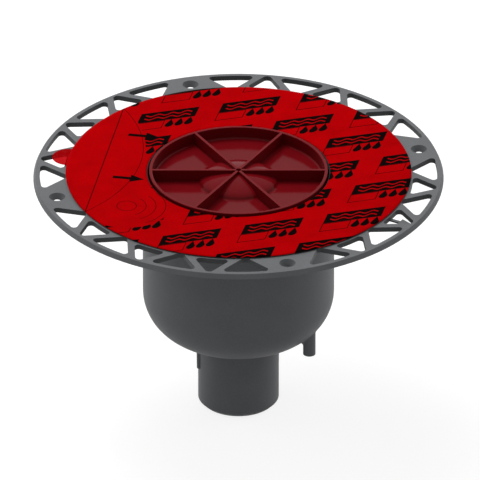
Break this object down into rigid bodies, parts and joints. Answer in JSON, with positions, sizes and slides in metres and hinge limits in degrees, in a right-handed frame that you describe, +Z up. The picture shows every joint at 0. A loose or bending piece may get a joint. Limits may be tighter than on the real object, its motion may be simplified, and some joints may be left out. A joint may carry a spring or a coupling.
{
  "type": "shower drain",
  "caption": "Round floor drain body with a lattice flange, a deep bowl, a vertical spigot outlet, a film-covered bonding ring, a ribbed push-in plug and an odour trap inside.",
  "frame": {"origin": "centre of the outlet's lower end, on the axis", "axes": "+Z up along the outlet's axis, towards the flange; X and Y pass through the screw holes"},
  "size_m": [0.2521, 0.2522, 0.1622],
  "materials": {
    "body_plastic": "fine moulded grey polypropylene",
    "seal_rubber": "soft black rubber",
    "sealing_compound": "soft dark sealing compound",
    "red_film": "printed red film, satin",
    "tab_film": "translucent red film",
    "plug_plastic": "smooth dark red moulded plastic",
    "trap_plastic": "light grey moulded plastic"
  },
  "bodies": {
    "drain": {"drain_body": "body_plastic", "inlet_seal": "seal_rubber", "adhesive_ring": "sealing_compound", "release_film": "red_film", "pull_tab": "tab_film", "trap_tube": "trap_plastic", "trap_seal": "seal_rubber", "trap_cup": "trap_plastic"},
    "plug": {"protective_plug": "plug_plastic"}
  },
  "joints": [
    {"name": "plug_pull", "type": "slide", "parent": "drain", "child": "plug", "axis": [0, 0, 1], "range_m": [0, 0.04]}
  ]
}
